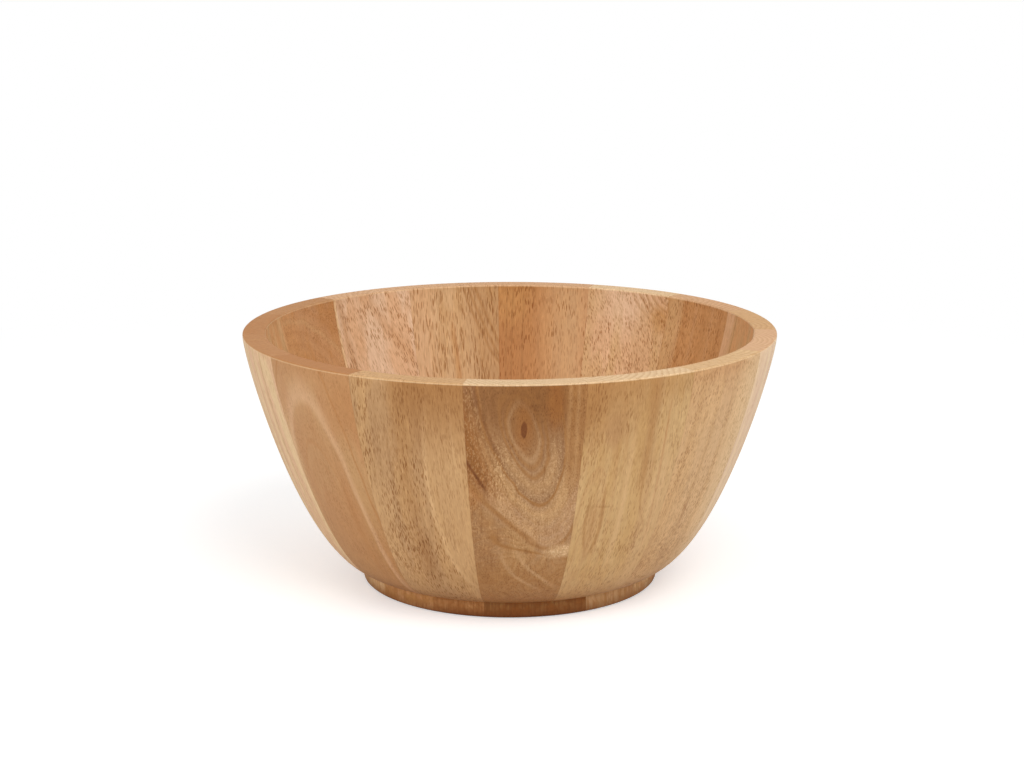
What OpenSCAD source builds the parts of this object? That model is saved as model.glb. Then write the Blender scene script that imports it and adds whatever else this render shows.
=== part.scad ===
// Turned wooden bowl: a ring of equal staves on a glued-up base with a low round foot.
// Millimetres, +Z up. The origin is on the bowl's axis, at the level it stands on.
// The front of the bowl faces -Y.

/* [Bowl] */
// Outside diameter of the rim
rim_d = 280; // [250:1:330]
// Height from the table to the top of the rim
bowl_h = 134.5; // [120:0.5:160]
// Thickness of the wall at the rim
rim_wall = 11.8; // [9:0.1:14]
// Rounding of the rim's outer and inner edge
rim_edge_r = 0.8; // [0.3:0.1:2]

/* [Wall curves] */
// Handle that points straight down from the rim on the outer curve
outer_rim_handle = 12.3; // [6:0.1:24]
// Handle that points out from the foot on the outer curve
outer_foot_handle = 32.7; // [26:0.1:38]
// Slope of the outer curve where it leaves the foot, in degrees above level
outer_foot_slope = 9.7; // [4:0.1:16]
// Handle that points straight down from the rim on the inner curve
inner_rim_handle = 8; // [4:0.1:16]
// Handle that points out along the floor on the inner curve
inner_floor_handle = 43; // [38:0.1:48]

/* [Staves] */
// Number of staves in the ring
stave_count = 15; // [10:1:20]
// Turn of the first stave's middle from the front, in degrees
stave_turn = 3; // [-12:0.5:12]

/* [Base] */
// Diameter of the foot
foot_d = 157.6; // [150:0.2:170]
// Height of the foot below the staves
foot_h = 8.5; // [6:0.5:12]
// Rounding of the foot's lower edge
foot_edge_r = 1.6; // [0.5:0.1:3]
// Width of the shoulder that the staves stand on
shoulder_w = 16.8; // [12:0.2:22]
// Height of the spigot that fills the ring, up to the inside floor
spigot_h = 11; // [9:0.5:14]
// Glue gap between the spigot and the staves
spigot_gap = 0.1; // [0.05:0.05:0.3]
// Width of the ring that touches the table
foot_ring_w = 15; // [10:0.5:20]
// Depth of the turned recess inside that ring
recess_depth = 2; // [1:0.25:4]
// Number of equal strips in the base panel
strip_count = 7; // [5:2:9]
// Width turned away from each edge of the panel to make the round foot
panel_trim = 11.5; // [4:0.5:18]

/* [Hidden] */
round_fn = 240;
curve_steps = 36;
edge_steps = 5;
cut_over = 1;

rim_r = rim_d / 2;
foot_r = foot_d / 2;
spigot_r = foot_r - shoulder_w;
recess_r = foot_r - foot_ring_w;
floor_z = foot_h + spigot_h;
stave_angle = 360 / stave_count;

panel_w = foot_d + 2 * panel_trim;
strip_w = panel_w / strip_count;

pale = "#E2BC85";
tan = "#D2A26C";
pink = "#C8946A";
brown = "#B57A4E";
orange = "#B9703A";
STAVE_TONES = [brown, pale, tan, pink, tan, brown, tan, brown, pink, pink, brown, pale, pale, pink, tan];
STRIP_TONES = [pale, orange, brown, orange, brown, orange, pale];

function stave_name(i) = str("stave_", i < 10 ? "0" : "", i);
function strip_name(i) = str("base_strip_", i);
function tone(tones, i) = tones[(i - 1) % len(tones)];

STAVES = [for (i = [1:stave_count]) stave_name(i)];
STRIPS = [for (i = [1:strip_count]) strip_name(i)];

// Points of a cubic curve from a to d, with b and c as the ends of its handles
function curve(a, b, c, d) = [
    for (i = [0:curve_steps])
        let (t = i / curve_steps, s = 1 - t)
        s * s * s * a + 3 * s * s * t * b + 3 * s * t * t * c + t * t * t * d
];

// Points of an arc of radius r about centre c, from angle a0 to angle a1
function arc(c, r, a0, a1) = [
    for (i = [0:edge_steps])
        let (a = a0 + (a1 - a0) * i / edge_steps)
        c + r * [cos(a), sin(a)]
];

// Outside of the wall, from the foot up to the rim
function outer_curve() = let (
    low = [foot_r, foot_h],
    high = [rim_r, bowl_h - rim_edge_r]
) curve(
    low,
    low + outer_foot_handle * [cos(outer_foot_slope), sin(outer_foot_slope)],
    high - [0, outer_rim_handle],
    high
);

// Inside of the wall, from the rim down to the level floor
function inner_curve() = let (
    high = [rim_r - rim_wall, bowl_h - rim_edge_r],
    low = [spigot_r, floor_z]
) curve(
    high,
    high - [0, inner_rim_handle],
    low + [inner_floor_handle, 0],
    low
);

// Flat rim with its two rounded edges, from outside to inside
function rim_edge() = concat(
    arc([rim_r - rim_edge_r, bowl_h - rim_edge_r], rim_edge_r, 0, 90),
    arc([rim_r - rim_wall + rim_edge_r, bowl_h - rim_edge_r], rim_edge_r, 90, 180)
);

// Section of a stave: it stands on the shoulder and closes round the spigot
module stave_section() {
    difference() {
        polygon(concat(outer_curve(), rim_edge(), inner_curve(), [[spigot_r, foot_h]]));
        square([spigot_r + spigot_gap, floor_z + cut_over]);
    }
}

// Half section of the base: the foot, the shoulder, the spigot and the recess below
module base_section() {
    difference() {
        union() {
            polygon(concat(
                [[0, 0]],
                arc([foot_r - foot_edge_r, foot_edge_r], foot_edge_r, -90, 0),
                [[foot_r, foot_h], [0, foot_h]]
            ));
            square([spigot_r, floor_z]);
        }
        polygon(concat(
            [[0, -cut_over], [recess_r, -cut_over]],
            arc([recess_r - recess_depth, 0], recess_depth, 0, 90),
            [[0, recess_depth]]
        ));
    }
}

// One stave, a wedge of the turned wall with radial faces
module stave(i) {
    color(tone(STAVE_TONES, i))
        rotate([0, 0, -90 + stave_turn + stave_angle * (i - 1.5)])
            rotate_extrude(angle = stave_angle, $fn = round_fn)
                stave_section();
}

// One strip of the base panel, which runs from front to back
module base_strip(i) {
    color(tone(STRIP_TONES, i))
        intersection() {
            rotate_extrude($fn = round_fn)
                base_section();
            translate([-panel_w / 2 + strip_w * (i - 1), -panel_w / 2, -cut_over])
                cube([strip_w, panel_w, floor_z + 2 * cut_over]);
        }
}

for (i = [1:stave_count]) stave(i);
for (i = [1:strip_count]) base_strip(i);
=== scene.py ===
"""Looks of a turned wooden bowl: solid procedural wood in every board, soft light and the camera."""

import math

import bpy
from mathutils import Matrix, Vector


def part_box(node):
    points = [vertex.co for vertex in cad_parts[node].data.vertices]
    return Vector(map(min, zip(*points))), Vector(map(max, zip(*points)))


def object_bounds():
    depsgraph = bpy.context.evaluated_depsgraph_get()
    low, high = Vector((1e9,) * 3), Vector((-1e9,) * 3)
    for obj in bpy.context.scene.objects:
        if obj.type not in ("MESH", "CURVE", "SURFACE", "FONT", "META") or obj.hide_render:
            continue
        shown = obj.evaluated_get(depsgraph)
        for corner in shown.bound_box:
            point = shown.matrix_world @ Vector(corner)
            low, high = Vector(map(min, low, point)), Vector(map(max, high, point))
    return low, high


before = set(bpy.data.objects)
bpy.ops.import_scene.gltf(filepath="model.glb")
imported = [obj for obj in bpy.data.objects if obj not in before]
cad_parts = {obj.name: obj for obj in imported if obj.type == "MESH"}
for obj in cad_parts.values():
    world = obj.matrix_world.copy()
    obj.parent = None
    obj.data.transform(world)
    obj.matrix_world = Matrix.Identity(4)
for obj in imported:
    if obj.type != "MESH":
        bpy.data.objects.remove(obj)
bpy.context.view_layer.update()
cad_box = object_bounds()

# Sizes of the bowl and its boards in millimetres, from the frame
MILLIMETRES = 1000.0
RIM_RADIUS = round(cad_box[1].x * MILLIMETRES, 1)
BOWL_HEIGHT = round(cad_box[1].z * MILLIMETRES, 1)
STRIP_WIDTH = round(2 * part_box("base_strip_4")[1].x * MILLIMETRES, 1)

# Radius of the foot in metres, from the frame
FOOT_RADIUS = round(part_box("base_strip_4")[1].y, 4)

# Staves: their number, and in degrees their step, the first one's turn and the lean of their grain
STAVE_COUNT = 15
STAVE_STEP = 360.0 / STAVE_COUNT
STAVE_TURN = 3.0
STAVE_LEAN = 22.0

# Strips of the base: their number, and the radii in metres between which the side of the foot begins, for its
# painted shade
STRIP_COUNT = 7
FOOT_SIDE = (FOOT_RADIUS - 0.0048, FOOT_RADIUS - 0.0008)

# Reach of the lines that are drawn on a board, in millimetres of L and of W
LINE_START = -5.0
LINE_END = 135.0
LINE_REACH = 40.0

# Heights from the flat rim, in millimetres: where its end grain fades in, and the middle of the painted
# highlight
# # on its rounded edges, with half the height of that highlight
RIM_FADE = (-0.8, -0.25)
RIM_HIGHLIGHT = -0.55
RIM_HIGHLIGHT_HALF = 0.45

# Heights from the rim, in millimetres, between which painted shade darkens the wall towards the foot
SEAT_SHADE_FADE = (-113.0, -126.0)

# Smoothing of the turned faces, in metres and radians
WELD_DISTANCE = 1e-6
SHARP_ANGLE = math.radians(30)

# Layers of the wood: lumps for each millimetre of W, T and L
STREAK_SCALE = (0.55, 0.55, 0.016)
FIBRE_SCALE = (1.9, 1.9, 0.10)
MOTTLE_SCALE = (0.34, 0.34, 0.15)
CLUSTER_SCALE = (0.10, 0.10, 0.014)
HAZE_SCALE = (1.35, 1.35, 1.35)
PORE_SCALE = (1.65, 1.65, 1.65)

# What each layer of the wood does to the tone below it, as factors on red, green and blue
OILED = (1.09, 1.09, 1.05, 1.0)
LIGHT_FIBRE = (1.15, 1.19, 1.24, 1.0)
DARK_FIBRE = (0.80, 0.73, 0.64, 1.0)
LIT_FIBRE = (1.13, 1.16, 1.19, 1.0)
OPEN_PORE = (0.58, 0.44, 0.30, 1.0)
GLUE_LINE = (0.66, 0.53, 0.40, 1.0)
END_GRAIN = (0.93, 0.86, 0.77, 1.0)

# Gloss and relief of the oiled wood
WOOD_IOR = 1.48
WOOD_SPECULAR = 0.3
RELIEF_STRENGTH = 0.5
RELIEF_HEIGHT = 0.00012

# Floor in metres: half its width, its drop below the foot, the radius of the opening that the foot covers,
# and the radii between which it turns white
FLOOR_HALF = 30.0
FLOOR_DROP = 0.0002
FLOOR_OPENING = FOOT_RADIUS - 0.0028
FLOOR_FADE = (0.25, 0.8)

# Grey of the floor, the light that it adds for the camera, and white
FLOOR_GREY = (0.86, 0.86, 0.86, 1.0)
FLOOR_LIFT = 0.4
WHITE = (1.0, 1.0, 1.0, 1.0)

# Light: strength of the even surroundings, and two round lamps by place, size and power
WORLD_LIGHT = 0.57
LAMP_TARGET = (0.0, 0.0, 0.07)
LAMPS = {
    "key_light": ((0.8, -1.4, 1.6), 1.6, 22.0),
    "fill_light": ((-1.4, -1.4, 1.1), 1.4, 11.5),
}

# Camera, fitted to the outline of the bowl: its place in metres, and its angles in degrees
IMAGE_WIDTH = 1024
SENSOR_WIDTH = 36.0
FOCAL_PIXELS = 2082.86
CAMERA_PLACE = (0.0, -1.0790, 0.3448)
CAMERA_PITCH = 12.588
CAMERA_YAW = 0.0622
CAMERA_CLIP = (0.01, 100.0)


def srgb(red, green, blue):
    """Linear colour with alpha, from the 0 to 255 steps of a screen."""
    parts = [value / 255 for value in (red, green, blue)]
    linear = [p / 12.92 if p <= 0.04045 else ((p + 0.055) / 1.055) ** 2.4 for p in parts]
    return (*linear, 1.0)


# Colours of the wood as they look in even light, from pale sapwood to the dark eye of the knot
TONE = {
    "ivory": srgb(232, 203, 165),
    "cream": srgb(222, 188, 144),
    "shell": srgb(222, 187, 156),
    "blush": srgb(216, 173, 135),
    "pale": srgb(210, 170, 124),
    "oat": srgb(203, 164, 121),
    "sand": srgb(199, 157, 110),
    "wheat": srgb(197, 160, 112),
    "straw": srgb(194, 154, 102),
    "tan": srgb(188, 145, 98),
    "olive": srgb(176, 134, 88),
    "pink": srgb(196, 147, 103),
    "apricot": srgb(208, 156, 106),
    "rose": srgb(184, 134, 88),
    "honey": srgb(190, 138, 82),
    "ginger": srgb(194, 141, 90),
    "clay": srgb(177, 121, 70),
    "fawn": srgb(178, 137, 95),
    "hazel": srgb(162, 123, 86),
    "russet": srgb(167, 119, 69),
    "umber": srgb(156, 107, 58),
    "red": srgb(148, 91, 38),
    "nut": srgb(134, 90, 53),
    "walnut": srgb(130, 83, 38),
    "cocoa": srgb(126, 76, 30),
    "bark": srgb(112, 61, 20),
}

# Tone of each stave's end grain on the rim, from stave 1 on
RIM_TONES = [
    "ivory", "ivory", "cream", "blush", "pale", "blush", "ivory", "blush",
    "blush", "blush", "rose", "clay", "clay", "clay", "pale",
]

# Light, dark and line tone of each strip of the base, from strip 1 on
STRIP_TONES = [
    ("cream", "apricot", "honey"),
    ("apricot", "honey", "clay"),
    ("ginger", "clay", "red"),
    ("umber", "red", "cocoa"),
    ("umber", "red", "cocoa"),
    ("oat", "sand", "clay"),
    ("cream", "apricot", "honey"),
]


class Field:
    """A value that varies over a surface. Arithmetic on it adds Math nodes to its graph."""

    def __init__(self, graph, socket):
        self.graph = graph
        self.socket = socket

    def __add__(self, other):
        return self.graph.math("ADD", self, other)

    def __sub__(self, other):
        return self.graph.math("SUBTRACT", self, other)

    def __rsub__(self, other):
        return self.graph.math("SUBTRACT", other, self)

    def __mul__(self, other):
        return self.graph.math("MULTIPLY", self, other)

    def __truediv__(self, other):
        return self.graph.math("DIVIDE", self, other)

    def __rtruediv__(self, other):
        return self.graph.math("DIVIDE", other, self)

    def __pow__(self, other):
        return self.graph.math("POWER", self, other)

    def __abs__(self):
        return self.graph.math("ABSOLUTE", self)

    __radd__ = __add__
    __rmul__ = __mul__


class Graph:
    """A node tree that is written as formulas: its methods add nodes and return their outputs as Fields."""

    def __init__(self, tree):
        self.tree = tree

    def feed(self, socket, value):
        """Links a Field to a socket, or writes a plain value into it."""
        if isinstance(value, Field):
            self.tree.links.new(value.socket, socket)
        else:
            socket.default_value = value

    def add(self, kind, inputs, output=0, **settings):
        """Adds a node with those settings and inputs, and returns one of its outputs, if it has any."""
        node = self.tree.nodes.new(kind)
        for key, value in settings.items():
            setattr(node, key, value)
        for key, value in inputs.items():
            self.feed(node.inputs[key], value)
        return Field(self, node.outputs[output]) if len(node.outputs) else None

    def math(self, operation, *values):
        return self.add("ShaderNodeMath", dict(enumerate(values)), operation=operation)

    def least(self, a, b):
        return self.math("MINIMUM", a, b)

    def most(self, a, b):
        return self.math("MAXIMUM", a, b)

    def ease(self, value, low, high):
        """Smooth step from 0 where value is low to 1 where it is high. Low may be the larger one."""
        inputs = {"Value": value, "From Min": low, "From Max": high}
        return self.add("ShaderNodeMapRange", inputs, interpolation_type="SMOOTHSTEP")

    def band(self, value, centre, half_width):
        """Soft stripe: 1 where value is centre, 0 from half_width away."""
        return self.ease(abs(value - centre), half_width, 0.0)

    def zone(self, value, low, high, blur):
        """1 between low and high, with edges that fade over blur."""
        return self.ease(value, low - blur, low + blur) * self.ease(value, high + blur, high - blur)

    def vector(self, x, y, z):
        return self.add("ShaderNodeCombineXYZ", {"X": x, "Y": y, "Z": z})

    def parts(self, vector):
        """The three parts of a vector."""
        return [self.add("ShaderNodeSeparateXYZ", {"Vector": vector}, output=i) for i in range(3)]

    def length(self, a, b):
        """Length of a vector with those two parts."""
        return (a ** 2 + b ** 2) ** 0.5

    def place(self, vector, move=(0, 0, 0), turn=(0, 0, 0), scale=(1, 1, 1)):
        """A vector that is scaled, then turned, then moved."""
        inputs = {"Vector": vector, "Location": move, "Rotation": turn, "Scale": scale}
        return self.add("ShaderNodeMapping", inputs)

    def noise(self, vector, scale, shift, detail=2.0, roughness=0.5):
        """Soft noise about 0.5, with scale as lumps for each unit of the vector and shift as its seed."""
        spot = self.place(vector, shift, scale=scale)
        inputs = {"Vector": spot, "Scale": 1.0, "Detail": detail, "Roughness": roughness}
        return self.add("ShaderNodeTexNoise", inputs, output="Fac")

    def mix(self, factor, first, second, blend="MIX"):
        """Colour between first, where factor is 0, and second, where it is 1."""
        inputs = {0: factor, 6: first, 7: second}
        return self.add("ShaderNodeMix", inputs, output=2, data_type="RGBA", blend_type=blend)

    def tint(self, factor, colour, tint):
        """Colour that is multiplied by a tint where factor is 1."""
        return self.mix(factor, colour, tint, "MULTIPLY")

    def curve(self, value, points, low, high, reach):
        """Smooth curve through points of value and result, from low to high and with results within reach."""
        share = (value - low) / (high - low)
        result = self.add("ShaderNodeFloatCurve", {"Value": share})
        mapping = result.socket.node.mapping
        mapping.extend = "HORIZONTAL"
        line = mapping.curves[0].points
        while len(line) < len(points):
            line.new(0.5, 0.5)
        for spot, (x, y) in zip(line, points):
            spot.location = ((x - low) / (high - low), 0.5 + 0.5 * y / reach)
        mapping.update()
        return (result - 0.5) * (2.0 * reach)


def add_sockets(tree, direction, kinds):
    """Gives a node group its inputs or outputs, as names with their kinds."""
    for name, kind in kinds.items():
        tree.interface.new_socket(name, in_out=direction, socket_type="NodeSocket" + kind)


def wood_fibres(graph, grain):
    """Light and dark of the wood about 0, and the finest of its three layers by itself."""
    streak = graph.noise(grain, STREAK_SCALE, shift=(3.0, 7.0, 1.0), detail=3.0, roughness=0.6) - 0.5
    fibre = graph.noise(grain, FIBRE_SCALE, shift=(5.0, 2.0, 9.0), detail=2.0, roughness=0.65) - 0.5
    mottle = graph.noise(grain, MOTTLE_SCALE, shift=(1.0, 4.0, 6.0), detail=3.0, roughness=0.6) - 0.5
    return streak * 0.36 + fibre * 0.42 + mottle * 0.22, fibre


def wood_pores(graph, grain, amount, length):
    """Open pores, as dashes that crowd in places, and the haze of much finer ones between them."""
    along = graph.vector(1.0, 0.25, 1.0 / length)
    stretched = graph.add("ShaderNodeVectorMath", {0: grain, 1: along}, operation="MULTIPLY")
    cluster = graph.noise(grain, CLUSTER_SCALE, shift=(8.0, 1.0, 3.0), detail=2.0)
    crowd = 0.5 + graph.ease(cluster, 0.36, 0.60) * 0.5
    haze = graph.noise(stretched, HAZE_SCALE, shift=(2.0, 5.0, 8.0), detail=1.0, roughness=0.5)
    cells = {"Vector": graph.place(stretched, scale=PORE_SCALE), "Scale": 1.0}
    near = graph.add("ShaderNodeTexVoronoi", cells)
    chance = Field(graph, near.socket.node.outputs["Color"])
    dashes = graph.ease(near, 0.50, 0.28) * graph.ease(chance, 0.30, 0.60)
    pores = graph.least((dashes * 0.95 + graph.ease(haze, 0.54, 0.68) * 0.25) * crowd * amount, 1.0)
    return pores, haze


def wood_group():
    """Shared node group: fibres, pores and glue lines over a board's own tone, with roughness and relief."""
    tree = bpy.data.node_groups.new("oiled_wood", "ShaderNodeTree")
    add_sockets(tree, "INPUT", {
        "Grain": "Vector",
        "Tone": "Color",
        "Streaks": "Float",
        "Pores": "Float",
        "Pore length": "Float",
        "Glue": "Float",
        "End grain": "Float",
    })
    add_sockets(tree, "OUTPUT", {"Color": "Color", "Roughness": "Float", "Height": "Float"})
    graph = Graph(tree)
    given = tree.nodes.new("NodeGroupInput")
    inputs = {socket.name: Field(graph, socket) for socket in given.outputs if socket.name}
    end = inputs["End grain"]

    shade, fibre = wood_fibres(graph, inputs["Grain"])
    shade = shade * inputs["Streaks"] * (1.0 - end * 0.5)
    pores, haze = wood_pores(graph, inputs["Grain"], inputs["Pores"], inputs["Pore length"])
    pores = pores * (1.0 - end * 0.8)

    colour = graph.tint(1.0, inputs["Tone"], OILED)
    colour = graph.tint(graph.ease(shade, 0.0, 0.20), colour, LIGHT_FIBRE)
    colour = graph.tint(graph.ease(shade, 0.0, -0.20), colour, DARK_FIBRE)
    colour = graph.tint(graph.ease(haze, 0.47, 0.35) * inputs["Pores"] * 0.45, colour, LIT_FIBRE)
    colour = graph.tint(pores, colour, OPEN_PORE)
    colour = graph.tint(graph.ease(inputs["Glue"], 0.34, 0.0) * 0.3, colour, GLUE_LINE)
    colour = graph.tint(end, colour, END_GRAIN)

    out = tree.nodes.new("NodeGroupOutput")
    graph.feed(out.inputs["Color"], colour)
    graph.feed(out.inputs["Roughness"], 0.5 + fibre * 0.12 + pores * 0.2 + end * 0.3)
    graph.feed(out.inputs["Height"], fibre * 0.3 - pores)
    return tree


class Board:
    """One board's material: coordinates W, T and L in millimetres, and a tone that is built up in steps."""

    def __init__(self, name, number):
        self.name = name
        self.number = number
        self.shift = (number * 37.0, number * 11.0, number * 53.0)
        self.material = bpy.data.materials.new(name + "_wood")
        self.material.use_nodes = True
        self.material.node_tree.nodes.clear()
        self.graph = Graph(self.material.node_tree)
        self.surface = self.graph.add("ShaderNodeTexCoord", {}, output="Object")
        self.tone = None
        self.looks = {"Streaks": 1.0, "Pores": 0.7, "Pore length": 6.0, "End grain": 0.0}

    def lay_out(self, spot, glue):
        """Sets W, T and L from a vector, and the distance to the nearest glue line."""
        self.spot = spot
        self.w, self.t, self.l = self.graph.parts(spot)
        self.grain = spot
        self.glue = glue

    def noise(self, width, length, detail=2.0):
        """Noise with lumps of that width and length, in millimetres."""
        scale = (1 / width, 1 / width, 1 / length)
        return self.graph.noise(self.spot, scale=scale, shift=self.shift, detail=detail)

    def ripple(self, width, length, amount):
        """Gentle wander of the grain by up to about that amount, in millimetres."""
        return (self.noise(width=width, length=length, detail=1.0) - 0.5) * (2.0 * amount)

    def slant(self, amount):
        """Lets fibres and pores lean by that much W for every L."""
        self.grain = self.graph.vector(self.w - self.l * amount, self.t, self.l)

    def base(self, light, dark, width=9.0, length=140.0):
        """Ground colour: wide streaks between two tones."""
        streak = self.graph.ease(self.noise(width=width, length=length, detail=3.0), 0.38, 0.62)
        self.tone = self.graph.mix(streak, TONE[light], TONE[dark])

    def stain(self, mask, tone, strength=1.0):
        """Lays another tone over the board where the mask is 1, at that strength."""
        self.tone = self.graph.mix(mask * strength, self.tone, TONE[tone])

    def rings(self, centre, size, power=2.0, warp=1.0):
        """Distance from centre in units of size, both as W and L, for arches, knots and patches."""
        across = abs((self.w + self.ripple(width=9.0, length=26.0, amount=warp) - centre[0]) / size[0])
        along = abs((self.l + self.ripple(width=16.0, length=40.0, amount=2.0 * warp) - centre[1]) / size[1])
        return (across ** power + along ** power) ** (1.0 / power)

    def patch(self, centre, size):
        """Mask of a soft patch, with centre and size as W and L."""
        return self.graph.ease(self.rings(centre=centre, size=size, warp=2.0), 1.25, 0.35)

    def cloud(self, tone, strength, centre, size):
        """Soft patch of another tone."""
        self.stain(self.patch(centre=centre, size=size), tone, strength)

    def flecks(self, tone, strength, mask, width=0.9, length=3.2):
        """Short flecks of another tone where the mask is 1, with their size in millimetres."""
        speck = self.graph.ease(self.noise(width=width, length=length, detail=1.0), 0.50, 0.64)
        self.stain(speck * mask, tone, strength)

    def course(self, points):
        """W of a smooth line through points, given as L and W."""
        return self.graph.curve(self.l, points, LINE_START, LINE_END, LINE_REACH)

    def across(self, points, warp=0.8):
        """Distance across the grain from a line through points, given as L and W."""
        line = self.course(points)
        return self.w + self.ripple(width=7.0, length=28.0, amount=warp) - line

    def line(self, tone, strength, points, half_width, ends=(-20.0, 150.0), fade=5.0):
        """Soft stripe along a line through points, between two distances from the rim."""
        stripe = self.graph.band(self.across(points), 0.0, half_width)
        self.stain(stripe * self.graph.zone(self.l, *ends, fade), tone, strength)

    def growth(self, tone, strength, field, spacing, mask=1.0):
        """Growth lines: each darkens slowly and ends sharply, one every spacing of the field."""
        phase = self.graph.math("FRACT", field / spacing)
        line = self.graph.ease(phase, 0.25, 0.92) * self.graph.ease(phase, 1.0, 0.92)
        self.stain(line * mask, tone, strength)

    def pith(self, tone, strength, centre, spacing, lean=0.0):
        """Growth lines round the tree's middle, at centre as W and T, which leans across the board."""
        side = self.w + self.ripple(width=12.0, length=60.0, amount=1.6) - self.l * lean - centre[0]
        self.growth(tone, strength, self.graph.length(side, self.t - centre[1]), spacing=spacing)

    def finish(self, wood):
        """Material of the painted board, made with the shared wood group."""
        graph = self.graph
        node = graph.tree.nodes.new("ShaderNodeGroup")
        node.node_tree = wood
        grain = graph.place(self.grain, self.shift)
        values = {"Grain": grain, "Tone": self.tone, "Glue": self.glue, **self.looks}
        for key, value in values.items():
            graph.feed(node.inputs[key], value)
        out = {socket.name: Field(graph, socket) for socket in node.outputs}
        relief = {"Strength": RELIEF_STRENGTH, "Distance": RELIEF_HEIGHT, "Height": out["Height"]}
        shader = {
            "Base Color": out["Color"],
            "Roughness": out["Roughness"],
            "Normal": graph.add("ShaderNodeBump", relief),
            "IOR": WOOD_IOR,
            "Specular IOR Level": WOOD_SPECULAR,
        }
        graph.add("ShaderNodeOutputMaterial", {"Surface": graph.add("ShaderNodeBsdfPrincipled", shader)})
        return self.material


class Stave(Board):
    """Board of the wall: W runs round the bowl, T outwards and L down from the rim, on a leaning plane."""

    def __init__(self, number):
        super().__init__(f"stave_{number:02d}", number)
        graph = self.graph
        turn = math.radians(STAVE_TURN + STAVE_STEP * (number - 1))
        half = math.radians(STAVE_STEP / 2)
        tilt = math.pi - math.radians(STAVE_LEAN)
        top = (0.0, RIM_RADIUS, -BOWL_HEIGHT)
        upright = graph.place(self.surface, top, (0.0, 0.0, -turn), (MILLIMETRES,) * 3)
        across, inwards, self.height = graph.parts(upright)
        glue = (RIM_RADIUS - inwards) * math.sin(half) - abs(across) * math.cos(half)
        self.lay_out(graph.place(upright, turn=(tilt, 0.0, 0.0)), glue)

    def rim(self, tone):
        """End grain on the flat rim, with growth bands round a tree's middle aside and inwards, and a painted
        highlight on its edges.
        """
        graph = self.graph
        top = graph.ease(self.height, *RIM_FADE)
        self.stain(top, tone, 0.85)
        aside = 26.0 * math.sin(2.4 * self.number)
        inwards = 30.0
        side = self.w + self.ripple(width=8.0, length=8.0, amount=1.0) - aside
        spacing = 2.3 + 0.3 * (self.number % 4)
        self.growth("clay", 0.3, graph.length(side, self.t + inwards), spacing=spacing, mask=top)
        # Painted highlight: a pale ivory band on the rounded edges of the rim, where they catch the light
        self.stain(graph.band(self.height, RIM_HIGHLIGHT, RIM_HIGHLIGHT_HALF), "ivory", 0.4)
        self.looks["End grain"] = top * 0.5

    def seat_shade(self):
        """Painted shade: darker, reddish wall where it meets the foot."""
        self.stain(self.graph.ease(self.height, *SEAT_SHADE_FADE), "red", 0.5)


class Strip(Board):
    """Board of the base: W runs along X, T up and L along Y."""

    def __init__(self, number):
        super().__init__(f"base_strip_{number}", number + STAVE_COUNT)
        graph = self.graph
        centre = (number - (STRIP_COUNT + 1) / 2) * STRIP_WIDTH
        x, y, z = graph.parts(graph.place(self.surface, (-centre, 0.0, 0.0), scale=(MILLIMETRES,) * 3))
        self.lay_out(graph.vector(x, z, y), STRIP_WIDTH / 2 - abs(x))


def knot_distance(board):
    """Distance round the knot of stave 1, for rings that open downwards, in about millimetres of L."""
    graph = board.graph
    middle = board.course([(-5, -5), (22, -0.5), (40, 3.5), (65, 8), (93, 13), (135, 19)])
    slimness = 0.42
    crowded_from = 35.0
    top = 24.0
    roundness = 1.7
    side = abs(board.w + board.ripple(width=8.0, length=14.0, amount=1.5) - middle) / slimness
    side = graph.least(side, crowded_from) + graph.most(side - crowded_from, 0.0) * 0.6
    drop = board.l + board.ripple(width=10.0, length=10.0, amount=2.0) - top
    upward = graph.most(0.0 - drop, 0.0) * graph.ease(side, 34.0, 14.0)
    return (side ** roundness + (graph.most(drop, 0.0) + upward) ** roundness) ** (1 / roundness)


def knot_rings(board, ring):
    """Ground of stave 1, its dark heart, and the light and dark rings with their speckles."""
    graph = board.graph
    board.stain(graph.ease(board.l, 80.0, 30.0), "hazel", 0.7)
    board.stain(graph.ease(board.l, 56.0, 4.0), "nut", 0.85)
    inside = graph.ease(ring, 43.0, 39.0)
    board.stain(inside, "hazel", 0.5)
    board.growth("nut", 0.4, ring, spacing=4.4, mask=inside)
    board.stain(inside * graph.ease(board.l, 44.0, 6.0), "walnut", 0.7)
    board.stain(graph.ease(ring, 15.0, 12.0), "umber", 0.4)
    board.stain(graph.band(ring, 15.5, 4.0), "fawn", 0.6)
    board.stain(graph.band(ring, 31.0, 7.0) * graph.ease(board.l, 20.0, 44.0), "tan", 0.5)
    board.stain(graph.zone(ring, 54.0, 69.0, blur=5.0), "blush", 0.3)
    board.stain(graph.band(ring, 48.0, 8.0) * graph.ease(board.l, 16.0, 44.0), "sand", 0.7)
    outer = graph.zone(ring, 46.0, 66.0, blur=4.0)
    uneven = ring + board.ripple(width=5.0, length=5.0, amount=3.0)
    board.growth("russet", 0.3, uneven, spacing=6.0, mask=outer)
    speckled = graph.zone(ring, 24.0, 68.0, blur=5.0) * graph.ease(board.l, 14.0, 40.0)
    board.flecks("oat", 0.4, speckled, width=0.8, length=1.1)
    board.flecks("walnut", 0.25, speckled, width=0.7, length=1.0)
    left = graph.ease(board.w, -4.0, -22.0) * graph.zone(board.l, 20.0, 62.0, blur=8.0)
    board.stain(left, "umber", 0.35)
    dark_rings = ((19.0, 3.0, 0.7), (25.0, 3.0, 0.7), (41.0, 2.0, 0.9), (69.0, 3.0, 0.7))
    for place, half_width, strength in dark_rings:
        board.stain(graph.band(ring, place, half_width), "umber", strength)


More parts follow.
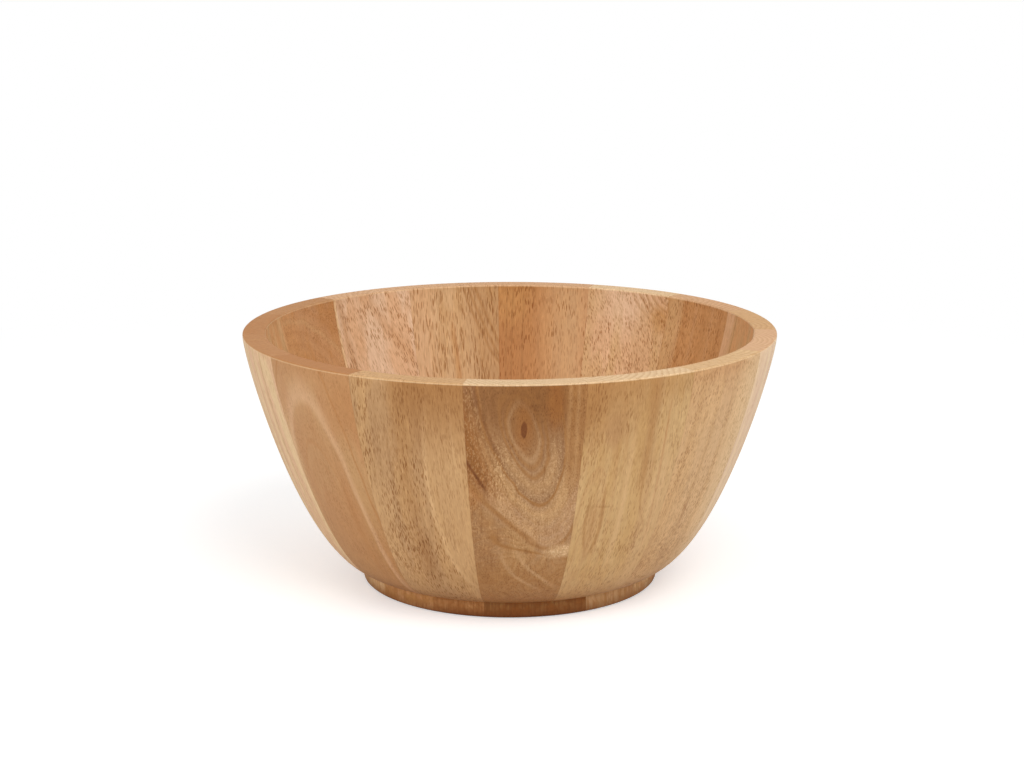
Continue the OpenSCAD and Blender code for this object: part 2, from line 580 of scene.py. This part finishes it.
def knot_eye(board):
    """Dark wood towards the rim of stave 1, and the eye of the knot in it."""
    graph = board.graph
    board.stain(graph.ease(board.l, 36.0, 2.0) * graph.ease(board.w, -30.0, 4.0), "walnut", 0.75)
    board.cloud("walnut", 0.45, centre=(10.0, 6.0), size=(16.0, 12.0))
    board.cloud("red", 0.6, centre=(14.0, 10.0), size=(5.0, 15.0))
    eye = board.rings(centre=(-0.5, 22.5), size=(1.5, 4.6), power=2.0, warp=0.3)
    board.stain(graph.ease(eye, 4.0, 1.0), "red", 0.5)
    board.stain(graph.ease(eye, 1.15, 0.8), "bark", 0.95)


def knot_slope(board):
    """Reddish slope at the left of the knot, with growth lines along it, a dark crack and pale flecks."""
    graph = board.graph
    slope = [(-5, -38), (24, -30), (52, -20), (80, -3), (135, 30)]
    beside = [(-5, -25), (12, -21.5), (30, -15.5), (50, -6), (135, 30)]
    crack = [(-5, -44), (36, -30.0), (52, -21), (80, -4), (135, 25)]
    board.line("red", 0.9, slope, half_width=13.0, ends=(4.0, 58.0), fade=12.0)
    board.line("walnut", 0.45, slope, half_width=6.0, ends=(16.0, 52.0), fade=10.0)
    aslant = board.across(slope)
    near = graph.ease(abs(aslant), 15.0, 9.0) * graph.ease(board.l, 64.0, 52.0)
    board.growth("walnut", 0.5, aslant, spacing=3.4, mask=near)
    board.flecks("tan", 0.4, near, width=0.8, length=1.6)
    board.cloud("clay", 0.6, centre=(-25.0, 62.0), size=(5.0, 8.0))
    board.line("bark", 0.45, beside, half_width=1.8, ends=(-5.0, 42.0), fade=8.0)
    board.line("bark", 0.9, crack, half_width=1.7, ends=(34.0, 57.0), fade=5.0)
    board.flecks("pale", 0.55, board.patch(centre=(-12.0, 50.0), size=(6.0, 20.0)), width=0.9, length=1.8)


def knot_swirl(board, below):
    """Flowing wood below the rings of stave 1, with pale curls and a bright speckled patch."""
    graph = board.graph
    border = [(-5, -60), (58, -22), (75, -7), (90, 8), (135, 40)]
    crossing = [(-5, 40), (84, -14), (94, 4), (102, 24), (135, 40)]
    upper_curl = [(-5, -6), (92, -3), (102, 1), (110, 7), (135, 30)]
    lower_curl = [(-5, -12), (96, -10), (108, -5), (117, 3), (135, 24)]
    board.line("umber", 0.7, border, half_width=2.6, ends=(50.0, 90.0), fade=8.0)
    board.flecks("sand", 0.6, below * graph.ease(board.l, 118.0, 84.0), width=0.9, length=1.4)
    board.stain(graph.ease(board.l, 92.0, 114.0), "russet", 0.8)
    swirl = board.noise(width=24.0, length=18.0, detail=1.0) * 70.0 + board.w * 0.4
    board.growth("red", 0.3, swirl, spacing=6.0, mask=below)
    for curl in (lower_curl, upper_curl):
        board.line("oat", 0.45, curl, half_width=2.2, ends=(92.0, 120.0), fade=6.0)
    board.line("umber", 0.9, crossing, half_width=5.0, ends=(82.0, 108.0), fade=4.0)
    board.cloud("oat", 0.8, centre=(19.0, 94.0), size=(10.0, 4.5))
    board.flecks("ivory", 0.45, board.patch(centre=(19.0, 94.0), size=(10.0, 4.5)), width=0.8, length=1.0)
    board.stain(below * graph.ease(board.w, 4.0, -18.0), "umber", 0.4)


def knot_edge(board):
    """Straight darker strip at the right edge of stave 1, with two pale lines."""
    graph = board.graph
    strip = graph.zone(board.w, 19.5, 30.0, blur=1.5) * graph.ease(board.l, 70.0, 40.0)
    board.stain(strip, "umber", 0.75)
    for place in (21.5, 25.5):
        points = [(-5, place), (60, place - 2.0), (135, place - 6.0)]
        board.line("tan", 0.3, points, half_width=1.6, ends=(-5.0, 56.0), fade=8.0)


def stave_01(board):
    """Dark knotty board: an eye near the rim, rings that open downwards and a swirl below them."""
    board.base("hazel", "olive", width=14.0, length=30.0)
    board.grain = board.graph.place(board.spot, scale=(1.0, 1.0, 2.6))
    ring = knot_distance(board)
    knot_rings(board, ring)
    knot_eye(board)
    knot_slope(board)
    knot_swirl(board, board.graph.ease(ring, 70.0, 76.0))
    knot_edge(board)
    board.looks.update({"Pores": 0.5, "Streaks": 1.4})


def stave_02(board):
    """Yellowish board with nested pale arches, a narrow dark oval and rows of pores."""
    graph = board.graph
    board.base("wheat", "straw", width=6.0, length=120.0)
    arch = board.rings(centre=(-17.0, 95.0), size=(13.0, 85.0), power=2.2)
    board.growth("tan", 0.5, arch, spacing=0.3, mask=graph.ease(board.w, 2.0, -6.0))
    board.cloud("umber", 0.85, centre=(-30.0, 4.0), size=(15.0, 32.0))
    board.cloud("fawn", 0.8, centre=(-12.0, 24.0), size=(6.0, 12.0))
    board.line("russet", 0.7, [(0, 7), (60, 8), (130, 9)], half_width=5.5, ends=(-5.0, 60.0), fade=10.0)
    board.line(
        "russet", 0.6, [(-5, 8), (56, 8.5), (75, 11), (84, 15), (135, 24)],
        half_width=1.2, ends=(50.0, 88.0), fade=8.0,
    )
    board.line("tan", 0.7, [(0, 13), (60, 12), (130, 14)], half_width=2.0, ends=(40.0, 110.0), fade=12.0)
    board.line(
        "clay", 0.6, [(0, 17), (60, 17), (100, 18.5), (130, 17)],
        half_width=1.1, ends=(16.0, 100.0), fade=16.0,
    )
    board.cloud("tan", 0.7, centre=(-14.5, 82.0), size=(4.5, 22.0))
    board.line(
        "umber", 0.5, [(-5, -19), (63, -18.5), (85, -18), (101, -14), (135, -10)],
        half_width=1.3, ends=(62.0, 96.0), fade=7.0,
    )
    board.line(
        "umber", 0.55, [(-5, -11), (60, -11.5), (85, -10.5), (101, -13), (135, -16)],
        half_width=1.3, ends=(58.0, 100.0), fade=6.0,
    )
    board.line("umber", 0.35, [(-5, -14.5), (135, -14.5)], half_width=0.9, ends=(66.0, 98.0), fade=8.0)
    board.cloud("umber", 0.35, centre=(-11.0, 69.0), size=(4.0, 0.9))
    board.flecks("umber", 0.9, board.patch(centre=(12.0, 94.0), size=(6.0, 15.0)))
    board.stain(graph.ease(board.l, 70.0, 0.0) * graph.ease(board.w, 30.0, -14.0), "russet", 0.6)
    # Darker towards the rim: partly the board's own tone, partly painted shade where the light falls off at
    # the top of the wall
    board.stain(graph.ease(board.l, 26.0, 0.0), "russet", 0.45)
    board.line(
        "pale", 0.5, [(0, 20.5), (60, 20.5), (130, 16)], half_width=1.6, ends=(50.0, 96.0), fade=10.0,
    )
    board.line("pale", 0.5, [(0, -2), (60, -1), (130, 1)], half_width=2.5, ends=(30.0, 110.0), fade=14.0)
    board.stain(graph.ease(board.l, 104.0, 128.0), "tan", 0.5)
    board.stain(graph.ease(board.w, 2.0, 20.0) * graph.ease(board.l, 20.0, 64.0), "oat", 0.45)
    board.looks.update({"Pores": 0.65})


def stave_03(board):
    """Light board, pinkish at the rim and yellower to the right, with short pores lower down."""
    graph = board.graph
    board.base("pale", "oat", width=10.0, length=60.0)
    board.stain(graph.ease(board.l, 40.0, 0.0), "pink", 0.4)
    for place in (-21.0, -6.0, 6.0):
        board.line("tan", 0.5, [(0, place), (130, place)], half_width=2.5)
    board.line("umber", 0.5, [(0, -5.4), (130, -5.0)], half_width=1.3, ends=(75.0, 90.0), fade=4.0)
    board.stain(graph.ease(board.l, 12.0, 2.0), "rose", 0.5)
    board.stain(graph.ease(board.l, 88.0, 120.0), "tan", 0.6)
    board.flecks(
        "umber", 0.5, board.patch(centre=(-8.0, 104.0), size=(20.0, 20.0)), width=0.8, length=2.8,
    )
    board.flecks("umber", 0.3, board.patch(centre=(-18.0, 60.0), size=(8.0, 40.0)), width=0.8, length=2.8)
    board.stain(graph.ease(board.w, 2.0, 24.0), "cream", 0.6)
    board.stain(graph.ease(board.w, -8.0, -20.0), "tan", 0.3)
    board.looks.update({"Pores": 0.8, "Pore length": 4.0})


def stave_04(board):
    """Pale pinkish board with faint growth lines, yellower towards the foot."""
    board.base("ivory", "shell")
    board.pith("blush", 0.2, centre=(10.0, 50.0), spacing=7.0, lean=0.05)
    board.stain(board.graph.ease(board.l, 84.0, 122.0), "sand", 0.6)
    board.looks.update({"Streaks": 0.8, "Pores": 0.4})


def stave_05(board):
    """Amber-yellow board, with a pale strip along one edge."""
    graph = board.graph
    board.base("apricot", "sand")
    board.stain(graph.ease(board.w, 14.0, 20.0), "blush", 0.7)
    board.line("umber", 0.5, [(0, 15), (130, 14)], half_width=1.0)
    board.looks.update({"Pores": 0.5})


def stave_06(board):
    """Reddish board with darker upright stripes and a tan strip along one edge."""
    graph = board.graph
    board.base("ginger", "ginger", width=7.0)
    board.stain(graph.zone(board.w, 15.0, 26.0, blur=2.0), "sand", 0.8)
    for place, half_width in ((13.0, 3.5), (-3.5, 4.5), (-20.0, 4.0)):
        board.line("clay", 0.4, [(0, place), (130, place * 0.8)], half_width=half_width)
    for place in (17.5, 4.0, -11.5):
        board.line("pink", 0.45, [(0, place), (130, place * 0.8)], half_width=2.2)
    board.looks.update({"Pores": 0.95, "Pore length": 5.0})


def stave_07(board):
    """Light speckled board with slanting dark rings towards one corner."""
    graph = board.graph
    board.base("blush", "pale", width=9.0, length=60.0)
    board.cloud("shell", 0.8, centre=(2.0, 2.0), size=(22.0, 30.0))
    board.slant(-0.3)
    corner = board.rings(centre=(-36.0, -6.0), size=(17.0, 14.0), power=2.0, warp=1.5)
    board.growth("rose", 0.7, corner, spacing=0.22, mask=graph.zone(corner, 0.5, 2.2, blur=0.3))
    board.cloud("honey", 0.8, centre=(-22.0, 18.0), size=(8.0, 9.0))
    board.cloud("sand", 0.4, centre=(-14.0, 36.0), size=(14.0, 30.0))
    board.stain(graph.ease(board.w, 4.0, 24.0), "tan", 0.3)
    board.looks.update({"Pores": 1.2, "Pore length": 4.5})


def stave_08(board):
    """Orange-brown at one side, lightening to tan at the other."""
    graph = board.graph
    board.base("ginger", "rose", width=5.0, length=120.0)
    board.stain(graph.ease(board.w, -16.0, 20.0), "clay", 0.95)
    board.cloud("honey", 0.7, centre=(20.0, 8.0), size=(16.0, 24.0))
    board.stain(graph.ease(board.w, 8.0, -16.0), "oat", 0.6)
    board.stain(graph.ease(board.w, -18.0, -26.0), "pink", 0.7)
    for place in (22.0, 18.5, 12.0):
        board.line("umber", 0.4, [(0, place), (130, place * 0.85)], half_width=1.0)
    board.looks.update({"Pores": 1.0, "Pore length": 7.5, "Streaks": 0.8})


def stave_09(board):
    """Tan board with long pores and orange streaks."""
    graph = board.graph
    board.base("oat", "sand", width=6.0, length=200.0)
    board.stain(graph.ease(board.w, 6.0, 20.0), "blush", 0.5)
    board.stain(graph.ease(board.w, 0.0, -18.0), "russet", 0.5)
    board.line("honey", 0.7, [(0, 3), (60, 0), (130, -4)], half_width=3.0, ends=(24.0, 140.0), fade=12.0)
    board.line("clay", 0.5, [(0, 2), (60, -1), (130, -5)], half_width=1.0, ends=(30.0, 140.0), fade=8.0)
    for place in (-5.0, -8.0, -12.0):
        bend = [(0, place), (14, place - 4), (40, place - 14), (70, place - 28), (135, place - 28)]
        board.line("russet", 0.7, bend, half_width=1.6, ends=(-5.0, 60.0), fade=8.0)
    board.looks.update({"Pores": 1.35, "Pore length": 11.0, "Streaks": 0.8})


def stave_10(board):
    """Light pinkish board with strong pores and bent bands, warmer at one side."""
    graph = board.graph
    board.base("shell", "blush", width=10.0, length=50.0)
    board.stain(graph.ease(board.w, 4.0, 22.0) * graph.ease(board.l, 14.0, 40.0), "apricot", 0.3)
    board.slant(-0.2)
    board.line("shell", 0.4, [(0, 13), (15, 8), (30, 5), (45, -3), (60, -12), (130, -30)], half_width=5.0)
    board.line(
        "pink", 0.5, [(0, 5), (15, -3), (30, -13), (45, -23), (60, -31), (130, -38)], half_width=6.0,
    )
    board.line("rose", 0.5, [(0, 24), (40, 18), (130, 4)], half_width=4.0)
    board.stain(graph.ease(board.glue, 1.8, 1.0) * graph.ease(board.w, 0.0, 4.0), "cream", 0.8)
    board.looks.update({"Pores": 1.3, "Pore length": 6.5, "Streaks": 0.8})


def stave_11(board):
    """Reddish-orange board, with pale and dark bent lines."""
    graph = board.graph
    board.base("pink", "ginger", width=10.0, length=40.0)
    board.stain(graph.ease(board.w, 2.0, 22.0), "apricot", 0.5)
    board.stain(graph.ease(board.w, 0.0, -24.0) * graph.ease(board.l, 40.0, 8.0), "clay", 0.5)
    arcs = board.rings(centre=(20.0, 62.0), size=(52.0, 52.0), power=2.0, warp=1.5)
    board.growth("clay", 0.3, arcs, spacing=0.13, mask=graph.zone(arcs, 0.7, 1.3, blur=0.15))
    board.stain(graph.band(arcs, 1.0, 0.05), "pale", 0.4)
    board.looks.update({"Pores": 0.6, "Pore length": 2.2})


def stave_12(board):
    """Yellow-orange board with growth lines."""
    board.base("pale", "apricot")
    board.pith("tan", 0.4, centre=(-10.0, 40.0), spacing=4.0, lean=0.04)


def stave_13(board):
    """Pale board with straight faint streaks."""
    board.base("cream", "blush", width=6.0)
    for place in (-10.0, 3.0, 14.0):
        board.line("sand", 0.7, [(0, place), (130, place * 0.9)], half_width=1.6)
    board.looks.update({"Pores": 0.45})


def stave_14(board):
    """Pinkish board with one wide pale arch that opens downwards."""
    graph = board.graph
    board.base("tan", "rose", width=10.0, length=60.0)
    board.stain(graph.ease(board.l, 70.0, 10.0), "pink", 0.5)
    board.stain(graph.ease(board.w, 2.0, 20.0) * graph.ease(board.l, 50.0, 20.0), "clay", 0.6)
    arch = board.rings(centre=(-6.5, 106.0), size=(22.5, 89.0), power=2.2, warp=1.4)
    board.growth("clay", 0.35, arch, spacing=0.21, mask=graph.ease(arch, 0.98, 0.85))
    board.stain(graph.ease(arch, 1.0, 0.84), "rose", 0.6)
    # Darker towards the rim: partly the board's own tone, partly painted shade where the light falls off at
    # the top of the wall
    board.stain(graph.ease(board.l, 16.0, 2.0), "rose", 0.8)
    board.stain(graph.band(arch, 1.36, 0.04), "clay", 0.7)
    board.stain(graph.band(arch, 0.72, 0.03) * graph.ease(board.l, 80.0, 50.0), "clay", 0.4)
    board.line("clay", 0.5, [(60, 8), (130, 8)], half_width=3.5, ends=(66.0, 118.0), fade=10.0)
    board.stain(graph.ease(board.w, -20.0, -26.0) * graph.ease(board.l, 20.0, 36.0), "pale", 0.5)
    board.stain(graph.ease(board.l, 40.0, 110.0) * graph.ease(board.w, -20.0, 16.0), "clay", 0.45)
    board.stain(graph.ease(board.l, 70.0, 125.0), "russet", 0.4)
    board.stain(graph.ease(arch, 0.94, 1.01) * graph.ease(arch, 1.17, 1.01), "blush", 0.5)
    board.looks.update({"Streaks": 0.85, "Pores": 0.4, "Pore length": 3.0})


def stave_15(board):
    """Tan board with a pale bent line and many short dark pores."""
    graph = board.graph
    board.base("tan", "fawn", width=9.0, length=80.0)
    bend = [(-5, 13), (21, 9), (36, 7), (55, 6.5), (74, 7), (86, 9), (103, 11.5), (118, 17)]
    right = graph.ease(board.across(bend), -1.0, 1.5)
    board.stain(right, "sand", 0.6)
    board.line("pale", 0.6, bend, half_width=2.2)
    board.line("pale", 0.4, [(0, 21), (60, 21), (130, 18)], half_width=1.4, ends=(-5.0, 52.0), fade=8.0)
    board.line("russet", 0.35, [(0, -5), (60, -4), (130, -2)], half_width=6.0)
    board.line("umber", 0.4, [(80, 0), (118, -2)], half_width=6.0, ends=(88.0, 112.0), fade=8.0)
    board.stain(graph.ease(board.w, -8.0, -20.0) * graph.ease(board.l, 40.0, 70.0), "sand", 0.6)
    # Darker towards the rim: partly the board's own tone, partly painted shade where the light falls off at
    # the top of the wall
    board.stain(graph.ease(board.l, 52.0, 0.0) * graph.ease(board.w, -14.0, 2.0), "umber", 0.9)
    board.flecks("umber", 0.4, board.patch(centre=(-6.0, 55.0), size=(8.0, 60.0)))
    board.flecks("umber", 0.6, board.patch(centre=(-14.0, 98.0), size=(14.0, 22.0)))
    board.stain(graph.ease(board.l, 100.0, 124.0), "olive", 0.5)
    board.looks.update({"Pores": 1.0 - right * 0.5, "Pore length": 6.5, "Streaks": 1.2})


STAVE_PAINTS = [
    stave_01, stave_02, stave_03, stave_04, stave_05, stave_06, stave_07, stave_08,
    stave_09, stave_10, stave_11, stave_12, stave_13, stave_14, stave_15,
]


def base_strip(board, tones):
    """Foot and inside floor: upright growth lines over the strip's own tones, and painted shade along the
    foot's lower edge.
    """
    graph = board.graph
    light, dark, line = tones
    board.base(light, dark, width=5.0)
    upright = board.w + board.t * 0.12 + board.ripple(width=9.0, length=60.0, amount=6.0)
    board.growth(line, 0.35, upright, spacing=3.1)
    streak = graph.noise(board.spot, scale=(0.9, 0.03, 0.011), shift=board.shift, detail=3.0, roughness=0.6)
    board.stain(graph.ease(streak, 0.44, 0.62), line, 0.6)
    # Painted shade: dark bark tone along the lower edge of the foot's side, strongest at the middle of front
    # and back
    x, y, _ = graph.parts(board.surface)
    side = graph.ease(graph.length(x, y), *FOOT_SIDE)
    middle = 0.7 + graph.ease(abs(x), 0.05, 0.02) * 0.3
    board.stain(graph.ease(board.t, 7.0, 0.0) * side * middle, "bark", 0.95)
    board.looks.update({"Pores": 0.5, "Pore length": 2.0, "End grain": 0.5})


def smooth_turning():
    """Geometry nodes that weld a turned solid's faces and keep its smooth normals and its sharp edges."""
    tree = bpy.data.node_groups.new("smooth_turning", "GeometryNodeTree")
    add_sockets(tree, "INPUT", {"Geometry": "Geometry"})
    add_sockets(tree, "OUTPUT", {"Geometry": "Geometry"})
    graph = Graph(tree)
    given = Field(graph, tree.nodes.new("NodeGroupInput").outputs[0])
    kept = tree.nodes.new("GeometryNodeCaptureAttribute")
    kept.domain = "CORNER"
    kept.capture_items.new("VECTOR", "Turned normal")
    graph.feed(kept.inputs[0], given)
    graph.feed(kept.inputs[1], graph.add("GeometryNodeInputNormal", {}))
    geometry = Field(graph, kept.outputs[0])
    normal = Field(graph, kept.outputs[1])
    whole = graph.add("GeometryNodeMergeByDistance", {"Geometry": geometry, "Distance": WELD_DISTANCE})
    angle = graph.add("GeometryNodeInputMeshEdgeAngle", {})
    sharp = graph.add("FunctionNodeCompare", {"A": angle, "B": SHARP_ANGLE}, operation="GREATER_THAN")
    split = graph.add("GeometryNodeSplitEdges", {"Mesh": whole, "Selection": sharp})
    turned = tree.nodes.new("GeometryNodeSetMeshNormal")
    turned.mode = "FREE"
    turned.domain = "POINT"
    graph.feed(turned.inputs["Mesh"], split)
    graph.feed(turned.inputs["Custom Normal"], normal)
    out = tree.nodes.new("NodeGroupOutput")
    graph.feed(out.inputs[0], Field(graph, turned.outputs[0]))
    return tree


def dress(board, wood, smoothing):
    """Gives a painted board's material and smooth normals to the CAD node of the same name."""
    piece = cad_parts[board.name]
    piece.data.materials.clear()
    piece.data.materials.append(board.finish(wood))
    piece.modifiers.new("smooth_turning", "NODES").node_group = smoothing


def dress_bowl():
    """Paints and dresses all staves and base strips."""
    wood = wood_group()
    smoothing = smooth_turning()
    for number, (paint, tone) in enumerate(zip(STAVE_PAINTS, RIM_TONES), start=1):
        stave = Stave(number)
        paint(stave)
        stave.rim(tone)
        # Painted shade where the wall meets the foot
        stave.seat_shade()
        dress(stave, wood, smoothing)
    for number, tones in enumerate(STRIP_TONES, start=1):
        strip = Strip(number)
        base_strip(strip, tones)
        dress(strip, wood, smoothing)


def floor_material():
    """Pale floor that reads white to the camera and keeps the bowl's shadow.

    It is clear from below, and open under the foot, where it is never seen, so that the underside gets light.
    """
    material = bpy.data.materials.new("floor_white")
    material.use_nodes = True
    material.node_tree.nodes.clear()
    graph = Graph(material.node_tree)
    seen = graph.add("ShaderNodeLightPath", {}, output="Is Camera Ray")
    spot = graph.add("ShaderNodeTexCoord", {}, output="Object")
    distance = graph.add("ShaderNodeVectorMath", {0: spot}, output="Value", operation="LENGTH")
    matt = graph.add("ShaderNodeBsdfDiffuse", {"Color": FLOOR_GREY})
    lift = graph.add("ShaderNodeEmission", {"Color": WHITE, "Strength": seen * FLOOR_LIFT})
    lit = graph.add("ShaderNodeAddShader", {0: matt, 1: lift})
    white = graph.add("ShaderNodeEmission", {"Color": WHITE, "Strength": 1.0})
    far = graph.ease(distance, *FLOOR_FADE)
    top = graph.add("ShaderNodeMixShader", {0: far * seen, 1: lit, 2: white})
    back = graph.add("ShaderNodeNewGeometry", {}, output="Backfacing")
    under = graph.math("LESS_THAN", distance, FLOOR_OPENING)
    clear = graph.add("ShaderNodeBsdfTransparent", {})
    both = graph.add("ShaderNodeMixShader", {0: graph.most(back, under), 1: top, 2: clear})
    graph.add("ShaderNodeOutputMaterial", {"Surface": both})
    return material


def make_floor():
    """Wide square floor just below the foot."""
    mesh = bpy.data.meshes.new("floor")
    ends = (-FLOOR_HALF, FLOOR_HALF)
    corners = [(x, y, -FLOOR_DROP) for x in ends for y in ends]
    mesh.from_pydata(corners, [], [(0, 2, 3, 1)])
    mesh.materials.append(floor_material())
    floor = bpy.data.objects.new("floor", mesh)
    bpy.context.scene.collection.objects.link(floor)


def make_world():
    """White to the camera and in gloss, and an even fill light for everything else."""
    world = bpy.data.worlds.new("studio")
    bpy.context.scene.world = world
    world.use_nodes = True
    world.node_tree.nodes.clear()
    graph = Graph(world.node_tree)
    path = world.node_tree.nodes.new("ShaderNodeLightPath")
    kinds = ("Camera", "Glossy", "Transmission")
    camera, glossy, through = [Field(graph, path.outputs[f"Is {kind} Ray"]) for kind in kinds]
    seen = graph.most(camera, graph.most(glossy, through))
    strength = WORLD_LIGHT + seen * (1.0 - WORLD_LIGHT)
    sky = graph.add("ShaderNodeBackground", {"Color": WHITE, "Strength": strength})
    graph.add("ShaderNodeOutputWorld", {"Surface": sky})


def make_lamp(name, place, size, power):
    """Round area lamp that is aimed at the bowl."""
    light = bpy.data.lights.new(name, "AREA")
    light.shape = "DISK"
    light.size = size
    light.energy = power
    lamp = bpy.data.objects.new(name, light)
    lamp.location = place
    x, y, z = [target - start for start, target in zip(place, LAMP_TARGET)]
    lamp.rotation_euler = (math.atan2(math.hypot(x, y), -z), 0.0, math.atan2(y, x) - math.pi / 2)
    bpy.context.scene.collection.objects.link(lamp)


def make_camera():
    """Camera at the fitted place, looking slightly down at the bowl."""
    data = bpy.data.cameras.new("camera")
    data.sensor_width = SENSOR_WIDTH
    data.lens = FOCAL_PIXELS / IMAGE_WIDTH * SENSOR_WIDTH
    data.clip_start, data.clip_end = CAMERA_CLIP
    camera = bpy.data.objects.new("camera", data)
    camera.location = CAMERA_PLACE
    camera.rotation_euler = (math.radians(90 - CAMERA_PITCH), 0.0, math.radians(-CAMERA_YAW))
    bpy.context.scene.collection.objects.link(camera)
    bpy.context.scene.camera = camera


dress_bowl()
make_floor()
make_world()
for name, (place, size, power) in LAMPS.items():
    make_lamp(name, place, size, power)
make_camera()
bpy.context.scene.view_settings.view_transform = "Standard"

bpy.context.view_layer.update()
